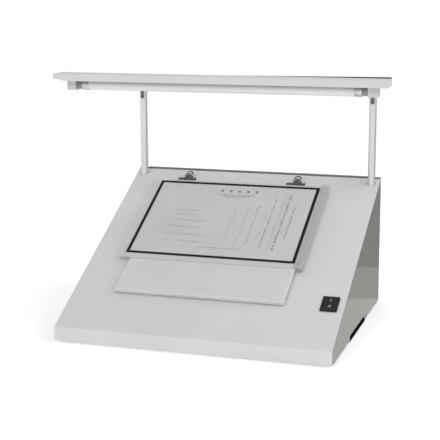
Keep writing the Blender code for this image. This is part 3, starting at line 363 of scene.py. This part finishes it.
def foam(name, colour):
    """Closed-cell foam tape: small cells with darker hollows."""
    material, tree, shader = start_material(name, colour, 0.9)
    vector = object_coordinates(tree)
    cells = voronoi(tree, vector, 1400.0)
    tree.links.new(mix_colours(tree, remap(tree, cells, 0.0, 0.7, 0.0, 1.0), scaled(colour, 0.7), colour),
                   shader.inputs["Base Color"])
    bump(tree, shader, cells, 0.0002)
    return material


def clear_stud(name, colour):
    """Clear moulded plastic: see-through, glossy, with a darker rim."""
    material, tree, shader = start_material(name, colour, 0.18, Coat_Weight=0.4, Alpha=0.60)
    vector = object_coordinates(tree)
    edge = edge_mask(tree, 0.0014, 0.0, 0.12)
    body = mix_colours(tree, remap(tree, noise(tree, vector, 400.0, 3.0), 0.3, 0.7, 0.0, 1.0),
                       scaled(colour, 0.95), scaled(colour, 1.05))
    tree.links.new(mix_colours(tree, edge, body, scaled(colour, 0.62)), shader.inputs["Base Color"])
    bump(tree, shader, noise(tree, vector, 500.0, 1.0), 0.00003)
    return material


def ink(name, colour):
    """Printing ink: slightly uneven cover with a soft sheen."""
    material, tree, shader = start_material(name, colour, 0.5, Specular_IOR_Level=0.15)
    vector = object_coordinates(tree)
    cover = remap(tree, noise(tree, vector, 700.0, 3.0), 0.3, 0.7, 0.0, 1.0)
    tree.links.new(mix_colours(tree, cover, scaled(colour, 0.85), scaled(colour, 1.2)),
                   shader.inputs["Base Color"])
    tree.links.new(remap(tree, cover, 0.0, 1.0, 0.38, 0.55), shader.inputs["Roughness"])
    bump(tree, shader, cover, 0.00001)
    return material


# ---- The paint colours, the material of each slot, and the inks ----
WHITE = (0.600, 0.602, 0.617)
TUBE_WHITE = (0.68, 0.68, 0.685)
# The side and back panels are darker than the top partly from a grey paint and partly from painted shade for
# faces turned away from the key light.
SIDE_GREY_WITH_PAINTED_SHADE = (0.178, 0.177, 0.158)
MATERIALS = {
    "white_paint": powder_coat("white_powder_coat", WHITE),
    "grey_paint": lacquer("grey_lacquer_with_painted_shade", SIDE_GREY_WITH_PAINTED_SHADE),
    "dark_grey_paint": powder_coat("dark_grey_paint", (0.16, 0.16, 0.165), roughness=0.36, wear=1.5),
    "grey_plastic": moulded_plastic("grey_plastic", (0.27, 0.27, 0.27), 0.42, 1.2),
    "opal": acrylic("opal_acrylic", (0.600, 0.602, 0.608)),
    "film": polyester_film("polyester_film", (0.735, 0.747, 0.735)),
    "black_plastic": moulded_plastic("black_plastic", (0.012, 0.012, 0.013), 0.42, 2.5, specular=0.3),
    "white_plastic": moulded_plastic("white_plastic", (0.60, 0.60, 0.60), 0.40, 1.1),
    "dark_steel": plated_steel("blued_steel", (0.11, 0.11, 0.118), 0.34, edge_tone=2.2),
    "bright_steel": plated_steel("zinc_plated_steel", (0.50, 0.50, 0.51), 0.28),
    "galvanised": galvanised_steel("galvanised_steel", (0.42, 0.43, 0.44)),
    "cap_metal": plated_steel("pressed_aluminium", (0.62, 0.62, 0.63), 0.30, brush=(14.0, 1.0, 1.0)),
    "lamp_glass": coated_glass("coated_glass", (0.755, 0.755, 0.765)),
    "rubber": rubber("black_rubber", (0.022, 0.022, 0.022)),
    "clear_plastic": clear_stud("clear_plastic", (0.56, 0.56, 0.56)),
    "foam_tape": foam("foam_tape", (0.72, 0.72, 0.70)),
}
INKS = {
    "black": ink("ink_black", (0.004, 0.004, 0.005)),
    "dark": ink("ink_dark_grey", (0.085, 0.088, 0.086)),
    "mid": ink("ink_mid_grey", (0.29, 0.295, 0.29)),
    "pale": ink("ink_pale_grey", (0.33, 0.345, 0.335)),
    "faint": ink("ink_faint_grey", (0.430, 0.450, 0.434)),
    "white": ink("ink_white", (0.34, 0.34, 0.34)),
}

# ------------------------------------------------------------------------- carried-over nodes
SLOT_NODES = {
    "white_paint": ["top_panel", "reflector_tray", "hood_shell", "lamp_channel"],
    "grey_paint": ["left_side_panel", "right_side_panel", "back_panel"],
    "dark_grey_paint": ["left_arm", "right_arm", "carrier_bar"],
    "opal": ["opal_plate"],
    "film": ["film_chart"],
    "black_plastic": ["switch_body", "switch_rocker", "power_inlet", "lamp_ballast"],
    "grey_plastic": ["left_lamp_socket", "right_lamp_socket"],
    "white_plastic": ["left_holder_strip", "right_holder_strip", "left_lamp_holder", "right_lamp_holder",
                      "terminal_block"],
    "dark_steel": ["left_clip_base", "left_clip_lever", "right_clip_base", "right_clip_lever"],
    "bright_steel": ["upper_left_screw", "upper_right_screw", "lower_left_screw", "lower_right_screw",
                     "left_clip_pin", "right_clip_pin", "left_clip_spring", "right_clip_spring",
                     "inlet_earth_pin", "inlet_line_pin", "inlet_neutral_pin",
                     "left_pivot_bolt", "right_pivot_bolt", "left_pivot_nut", "right_pivot_nut"],
    "galvanised": ["base_plate", "ballast", "left_post_bracket", "right_post_bracket"],
    "cap_metal": ["left_tube_cap", "right_tube_cap"],
    "lamp_glass": ["inner_tube_1", "inner_tube_2", "inner_tube_3", "lamp_tube"],
    "rubber": ["front_left_foot", "rear_left_foot", "front_right_foot", "rear_right_foot"],
    "clear_plastic": ["film_stud"],
    "foam_tape": ["plate_tape"],
}
ROUNDED_EDGES = {
    0.00045: ["top_panel", "left_side_panel", "right_side_panel", "back_panel", "base_plate",
              "opal_plate", "lamp_ballast", "left_lamp_holder", "right_lamp_holder", "ballast"],
    0.00030: ["hood_shell", "lamp_channel", "left_lamp_socket", "right_lamp_socket", "switch_body",
              "carrier_bar", "left_arm", "right_arm", "left_post_bracket", "right_post_bracket",
              "power_inlet", "terminal_block", "left_holder_strip", "right_holder_strip"],
    0.00015: ["left_clip_lever", "right_clip_lever", "left_clip_base", "right_clip_base", "switch_rocker",
              "film_stud", "left_pivot_bolt", "right_pivot_bolt", "left_pivot_nut", "right_pivot_nut",
              "upper_left_screw", "upper_right_screw", "lower_left_screw", "lower_right_screw",
              "inlet_earth_pin", "inlet_line_pin", "inlet_neutral_pin"],
}
SMOOTH_ANGLE = math.radians(32)


def smoothing_group():
    """Geometry nodes: drop stored normals, shade smooth, and keep edges sharper than SMOOTH_ANGLE."""
    group = bpy.data.node_groups.new("smooth_by_angle", "GeometryNodeTree")
    for direction in ("INPUT", "OUTPUT"):
        group.interface.new_socket("Geometry", in_out=direction, socket_type="NodeSocketGeometry")
    entry = group.nodes.new("NodeGroupInput")
    leave = group.nodes.new("NodeGroupOutput")
    drop = group.nodes.new("GeometryNodeRemoveAttribute")
    drop.inputs["Name"].default_value = "custom_normal"
    faces = group.nodes.new("GeometryNodeSetShadeSmooth")
    faces.domain = "FACE"
    faces.inputs["Shade Smooth"].default_value = True
    edges = group.nodes.new("GeometryNodeSetShadeSmooth")
    edges.domain = "EDGE"
    edges.inputs["Shade Smooth"].default_value = False
    angle = group.nodes.new("GeometryNodeInputMeshEdgeAngle")
    sharper = group.nodes.new("FunctionNodeCompare")
    sharper.operation = "GREATER_THAN"
    sharper.inputs["B"].default_value = SMOOTH_ANGLE
    group.links.new(angle.outputs["Unsigned Angle"], sharper.inputs["A"])
    group.links.new(entry.outputs["Geometry"], drop.inputs["Geometry"])
    group.links.new(drop.outputs["Geometry"], faces.inputs["Geometry"])
    group.links.new(faces.outputs["Geometry"], edges.inputs["Geometry"])
    group.links.new(sharper.outputs["Result"], edges.inputs["Selection"])
    group.links.new(edges.outputs["Geometry"], leave.inputs["Geometry"])
    return group


def refine(node, group, width):
    """Weld, flatten coplanar triangles, round the edges and set the shading, all as modifiers."""
    weld = node.modifiers.new("weld", "WELD")
    weld.merge_threshold = 1e-6
    flat = node.modifiers.new("merge_flat", "DECIMATE")
    flat.decimate_type = "DISSOLVE"
    flat.angle_limit = math.radians(0.3)
    if width:
        rounding = node.modifiers.new("round_edges", "BEVEL")
        rounding.width = width
        rounding.segments = 2
        rounding.limit_method = "ANGLE"
        rounding.angle_limit = math.radians(38)
    smooth = node.modifiers.new("smooth", "NODES")
    smooth.node_group = group
    weighted = node.modifiers.new("weighted_normals", "WEIGHTED_NORMAL")
    weighted.keep_sharp = True


def dress(node, material, group, width):
    """Gives one node its material, its shading and rounded edges of the given width."""
    node.data.materials.clear()
    node.data.materials.append(material)
    refine(node, group, width)


def dress_nodes():
    """Gives each carried-over node its material and edges. The posts are satin metal, not painted."""
    group = smoothing_group()
    widths = {name: width for width, names in ROUNDED_EDGES.items() for name in names}
    for slot, names in SLOT_NODES.items():
        for name in names:
            dress(NODES[name], MATERIALS[slot], group, widths.get(name, 0.0))
    satin = powder_coat("satin_tube", TUBE_WHITE, roughness=0.20, metallic=0.6)
    for name in ("left_post", "right_post"):
        dress(NODES[name], satin, group, 0.0)


# ------------------------------------------------------------------------- print on the film
def slope_point(x, s, h):
    """The point at x across, s up the slope and h off it."""
    return SLOPE_ORIGIN + Vector((x, 0.0, 0.0)) + UP_SLOPE * s + OFF_SLOPE * h


def film_point(u, v):
    """u runs across the printed frame from its left line, v from its lower line to its upper line."""
    x = FRAME_X[0] + u * (FRAME_X[1] - FRAME_X[0])
    s = FRAME_S[0] + v * (FRAME_S[1] - FRAME_S[0])
    return x, s


def add_patch(mesh, outline, material_index):
    """A thin raised patch of ink on the film over an outline of (x, s) points."""
    bottom = [mesh.verts.new(slope_point(x, s, FILM_TOP - PRINT_SINK)) for x, s in outline]
    top = [mesh.verts.new(slope_point(x, s, FILM_TOP + PRINT_THICKNESS)) for x, s in outline]
    faces = [mesh.faces.new(top), mesh.faces.new(bottom[::-1])]
    for i in range(len(outline)):
        j = (i + 1) % len(outline)
        faces.append(mesh.faces.new((bottom[i], bottom[j], top[j], top[i])))
    for face in faces:
        face.material_index = material_index


def squared(value, power):
    """A sine or cosine pushed out towards 1 or -1, which turns an ellipse into a soft rectangle."""
    return math.copysign(abs(value) ** power, value)


def add_blob(mesh, x, s, width, height, material_index):
    """A rounded patch with eight sides."""
    turns = [2 * math.pi * (i + 0.5) / 8 for i in range(8)]
    outline = [(x + width / 2 * squared(math.cos(turn), 0.6), s + height / 2 * squared(math.sin(turn), 0.6))
               for turn in turns]
    add_patch(mesh, outline, material_index)


def finish_piece(mesh, name, body, materials):
    """Turns a bmesh into a piece that rides on a body and carries the given materials."""
    data = bpy.data.meshes.new(name)
    bmesh.ops.recalc_face_normals(mesh, faces=mesh.faces)
    mesh.to_mesh(data)
    mesh.free()
    piece = bpy.data.objects.new(name, data)
    bpy.context.scene.collection.objects.link(piece)
    for material in materials:
        data.materials.append(material)
    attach(piece, body)


def make_printed_frame():
    """The broad black line round the drawing area of the film."""
    mesh = bmesh.new()
    half = FRAME_LINE / 2
    x0, x1 = FRAME_X
    s0, s1 = FRAME_S
    outer = [(x0 - half, s0 - half), (x1 + half, s0 - half), (x1 + half, s1 + half), (x0 - half, s1 + half)]
    inner = [(x0 + half, s0 + half), (x1 - half, s0 + half), (x1 - half, s1 - half), (x0 + half, s1 - half)]
    rings = []
    for h in (FILM_TOP - PRINT_SINK, FILM_TOP + PRINT_THICKNESS):
        rings.append([[mesh.verts.new(slope_point(x, s, h)) for x, s in loop] for loop in (outer, inner)])
    (low_out, low_in), (top_out, top_in) = rings
    for i in range(4):
        j = (i + 1) % 4
        mesh.faces.new((top_out[i], top_out[j], top_in[j], top_in[i]))
        mesh.faces.new((low_out[j], low_out[i], low_in[i], low_in[j]))
        mesh.faces.new((low_out[i], low_out[j], top_out[j], top_out[i]))
        mesh.faces.new((low_in[j], low_in[i], top_in[i], top_in[j]))
    finish_piece(mesh, "printed_frame", "housing", [INKS["black"]])


def add_row(mesh, rng, u0, u1, v, height, material_index, bit=(0.0016, 0.0042), gap=0.0012,
            sag=0.0, slant=0.0):
    """A row of short bars that stands for a line of small print."""
    start, _ = film_point(u0, v)
    end, _ = film_point(u1, v)
    x = start
    while x < end:
        length = min(rng.uniform(*bit), end - x)
        along = ((x + length / 2) - start) / (end - start)
        _, s = film_point(u0, v)
        s += slant * along - sag * (1.0 - (2.0 * along - 1.0) ** 2)
        tall = height * rng.uniform(0.75, 1.0)
        add_blob(mesh, x + length / 2, s, length, tall, material_index)
        x += length + gap * rng.uniform(0.7, 1.4)


def make_print():
    """Generic marks: a heading of five blocks, rows at the left, dotted columns at the right, a foot line."""
    rng = random.Random(7)
    mesh = bmesh.new()
    dark, mid, pale, faint = range(4)
    for i in range(5):
        x, s = film_point(0.41 + i * 0.055, 0.905)
        add_blob(mesh, x, s + 0.0012, 0.0046, 0.0020, dark)
        add_blob(mesh, x + 0.0002, s - 0.0016, 0.0040, 0.0020, dark)
    add_row(mesh, rng, 0.392, 0.62, 0.858, 0.0042, pale, bit=(0.0014, 0.0030), gap=0.0016, sag=0.0020)
    add_row(mesh, rng, 0.425, 0.59, 0.834, 0.0036, pale, bit=(0.0014, 0.0030), gap=0.0014, sag=0.0026)
    for v in (0.79, 0.72, 0.67):
        add_row(mesh, rng, 0.185, 0.212, v, 0.0024, faint)
        add_row(mesh, rng, 0.235, 0.272, v, 0.0026, faint)
    for v, end in ((0.61, 0.31), (0.55, 0.32), (0.47, 0.37), (0.38, 0.375), (0.28, 0.42), (0.19, 0.44)):
        add_row(mesh, rng, 0.18, end, v, 0.0034, faint, slant=-0.0015)
    add_row(mesh, rng, 0.395, 0.665, 0.12, 0.0024, pale, gap=0.0022)
    columns = ((0.545, 0.18, 0.67, 0.0024, faint), (0.618, 0.15, 0.69, 0.0024, faint),
               (0.680, 0.20, 0.73, 0.0026, faint), (0.740, 0.16, 0.78, 0.0020, faint),
               (0.770, 0.16, 0.83, 0.0026, pale), (0.820, 0.15, 0.86, 0.0024, faint),
               (0.850, 0.15, 0.90, 0.0030, mid), (0.897, 0.30, 0.80, 0.0028, pale))
    for u, v0, v1, size, tone in columns:
        x, s = film_point(u, v0)
        _, top = film_point(u, v1)
        while s < top:
            add_blob(mesh, x + rng.uniform(-0.0004, 0.0004), s, size * rng.uniform(0.8, 1.3),
                     size * rng.uniform(1.2, 2.2), tone)
            s += rng.uniform(0.0062, 0.0100)
    inks = [INKS[tone] for tone in ("dark", "mid", "pale", "faint")]
    finish_piece(mesh, "film_print", "housing", inks)


# ------------------------------------------------------------------------- marks on the rocker
def make_rocker_marks():
    """The plain on and off symbols, laid on the rocker's curved face."""
    rocker = NODES["switch_rocker"]
    points = [vertex.co for vertex in rocker.data.vertices]
    tree = BVHTree.FromPolygons(points, [face.vertices for face in rocker.data.polygons])
    lo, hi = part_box("switch_rocker")
    centre = (lo + hi) / 2
    offset = centre - SLOPE_ORIGIN
    centre_s = offset.dot(UP_SLOPE)

    def surface(x, s):
        """The point of the rocker's top under x and s, or of the slope where there is none."""
        start = slope_point(x, s, 0.05)
        hit, _, _, _ = tree.ray_cast(start, -OFF_SLOPE)
        return hit if hit is not None else slope_point(x, s, 0.0)

    mesh = bmesh.new()

    def strip(inner, outer):
        """A thin closed band between two outlines that follows the rocker's face."""
        pairs = []
        for (xi, si), (xo, so) in zip(inner, outer):
            near, far = surface(xi, si), surface(xo, so)
            pairs.append([mesh.verts.new(p + OFF_SLOPE * lift) for lift in MARK_LIFTS for p in (near, far)])
        count = len(pairs)
        for i in range(count):
            a, b = pairs[i], pairs[(i + 1) % count]
            mesh.faces.new((a[2], a[3], b[3], b[2]))
            mesh.faces.new((a[0], b[0], b[1], a[1]))
            mesh.faces.new((a[0], a[2], b[2], b[0]))
            mesh.faces.new((a[1], b[1], b[3], a[3]))

    turns = [2 * math.pi * i / 24 for i in range(24)]
    ring_s = centre_s + RING_OFFSET
    ring = [[(centre.x + r * math.cos(t), ring_s + r * math.sin(t)) for t in turns] for r in RING_RADII]
    strip(*ring)
    bar_s = centre_s + BAR_OFFSET
    inner = [(centre.x + BAR_PINHOLE * math.cos(t), bar_s + BAR_PINHOLE * math.sin(t)) for t in turns]
    outer = [(centre.x + BAR_HALF_WIDTH * squared(math.cos(t), 0.4),
              bar_s + BAR_HALF_LENGTH * squared(math.sin(t), 0.4)) for t in turns]
    strip(inner, outer)
    finish_piece(mesh, "rocker_marks", "rocker", [INKS["white"]])


# ------------------------------------------------------------------------- stage
def make_floor():
    """A wide plain floor, nearly white, with a little glow of its own that thins the shadow."""
    mesh = bmesh.new()
    bmesh.ops.create_circle(mesh, cap_ends=True, radius=FLOOR_RADIUS, segments=96)
    data = bpy.data.meshes.new("floor")
    mesh.to_mesh(data)
    mesh.free()
    floor = bpy.data.objects.new("floor", data)
    floor.location.z = FLOOR_Z
    bpy.context.scene.collection.objects.link(floor)
    pale = (0.93, 0.93, 0.93)
    material, tree, shader = start_material("pale_floor", pale, 0.85, Specular_IOR_Level=0.0)
    shader.inputs["Emission Color"].default_value = (1.0, 1.0, 1.0, 1.0)
    shader.inputs["Emission Strength"].default_value = FLOOR_GLOW
    vector = object_coordinates(tree)
    tone = remap(tree, noise(tree, vector, 3.0, 2.0), 0.3, 0.7, 0.0, 1.0)
    tree.links.new(mix_colours(tree, tone, (0.925, 0.925, 0.925), (0.935, 0.935, 0.935)),
                   shader.inputs["Base Color"])
    data.materials.append(material)


def add_stage_card(name, corners, colour, strength, glossy_only):
    """A flat card on the stage. A glossy-only card is seen in reflections and nowhere else."""
    data = bpy.data.meshes.new(name)
    data.from_pydata(corners, [], [tuple(range(len(corners)))])
    card = bpy.data.objects.new(name, data)
    bpy.context.scene.collection.objects.link(card)
    material, _, shader = start_material(name, colour, 0.9, Specular_IOR_Level=0.0)
    shader.inputs["Emission Color"].default_value = (1.0, 1.0, 1.0, 1.0)
    shader.inputs["Emission Strength"].default_value = strength
    data.materials.append(material)
    if glossy_only:
        for ray in ("camera", "diffuse", "transmission", "volume_scatter", "shadow"):
            setattr(card, f"visible_{ray}", False)


def make_flags():
    """Three flat flags on the floor, seen only in reflections: in the lacquered right side, where each starts
    at a set distance from the camera mirrored in that side, and along the rims of the posts."""
    yaw = math.radians(CAMERA_YAW)
    start = Vector((2 * SIDE_FACE_X - CAMERA_PLACE[0], CAMERA_PLACE[1], FLAG_Z))
    forward = Vector((math.sin(yaw), math.cos(yaw), 0.0))
    side = Vector((math.cos(yaw), -math.sin(yaw), 0.0))
    flags = (("light_flag", LIGHT_FLAG_START, MID_FLAG_START, FLAG_REACH, LIGHT_FLAG),
             ("mid_flag", MID_FLAG_START, DARK_FLAG_START, FLAG_REACH, MID_FLAG),
             ("dark_flag", DARK_FLAG_START, DARK_FLAG_END, DARK_FLAG_REACH, DARK_FLAG))
    for name, near, far, reach, strength in flags:
        corners = [start + forward * distance + side * offset for distance, offset in
                   ((near, -reach), (near, reach), (far, reach), (far, -reach))]
        add_stage_card(name, corners, (0.0, 0.0, 0.0), strength, True)


def make_painted_shadow_mat():
    """A black mat under the box: painted shadow on the floor beneath it, so that its lifting notches look
    into the dark.
    """
    outline = SHADOW_MAT_RIGHT_EDGE + [(-x, y) for x, y in reversed(SHADOW_MAT_RIGHT_EDGE)]
    add_stage_card("painted_shadow_mat", [(x, y, SHADOW_MAT_Z) for x, y in outline], (0.01, 0.01, 0.01), 0.0, False)


def make_sun(name, towards, strength, softness):
    """A broad soft light from one direction, given as the way from the object to it."""
    data = bpy.data.lights.new(name, "SUN")
    data.energy = strength
    data.angle = math.radians(softness)
    light = bpy.data.objects.new(name, data)
    light.location = Vector(towards) * 3.0
    light.rotation_euler = Vector(towards).to_track_quat("Z", "Y").to_euler()
    bpy.context.scene.collection.objects.link(light)


def make_softbox(name, place, size, power):
    """A square soft light that looks at the object from the given place."""
    data = bpy.data.lights.new(name, "AREA")
    data.shape = "SQUARE"
    data.size = size
    data.energy = power
    light = bpy.data.objects.new(name, data)
    light.location = place
    light.rotation_euler = Vector(place).to_track_quat("Z", "Y").to_euler()
    bpy.context.scene.collection.objects.link(light)


def make_world(strength):
    """Even white light from all round. The camera itself sees pure white."""
    world = bpy.data.worlds.new("studio")
    bpy.context.scene.world = world
    world.use_nodes = True
    tree = world.node_tree
    background = tree.nodes["Background"]
    background.inputs["Color"].default_value = (1.0, 1.0, 1.0, 1.0)
    path = tree.nodes.new("ShaderNodeLightPath")
    tree.links.new(remap(tree, path.outputs["Is Camera Ray"], 0.0, 1.0, strength, 1.0),
                   background.inputs["Strength"])


def make_camera():
    """The photo's camera."""
    data = bpy.data.cameras.new("camera")
    data.sensor_fit = "HORIZONTAL"
    data.sensor_width = 36.0
    data.lens = CAMERA_LENS
    data.clip_start = 0.1
    data.clip_end = 60.0
    camera = bpy.data.objects.new("camera", data)
    pitch, yaw, roll = (math.radians(a) for a in (CAMERA_PITCH, CAMERA_YAW, CAMERA_ROLL))
    level = math.cos(pitch)
    forward = Vector((-math.sin(yaw) * level, math.cos(yaw) * level, -math.sin(pitch)))
    right = forward.cross(Vector((0.0, 0.0, 1.0))).normalized()
    up = right.cross(forward)
    across = right * math.cos(roll) + up * math.sin(roll)
    upward = up * math.cos(roll) - right * math.sin(roll)
    turn = Matrix((across, upward, -forward)).transposed()
    camera.matrix_world = Matrix.Translation(Vector(CAMERA_PLACE)) @ turn.to_4x4()
    bpy.context.scene.collection.objects.link(camera)
    bpy.context.scene.camera = camera


dress_nodes()
make_printed_frame()
make_print()
make_rocker_marks()
make_floor()
make_flags()
make_painted_shadow_mat()
make_world(WORLD_STRENGTH)
make_sun("key", KEY_TOWARDS, KEY_STRENGTH, KEY_SOFTNESS)
make_softbox("fill", FILL_PLACE, FILL_SIZE, FILL_POWER)
make_camera()
bpy.context.scene.view_settings.view_transform = "Standard"
bpy.context.scene.view_settings.look = "None"
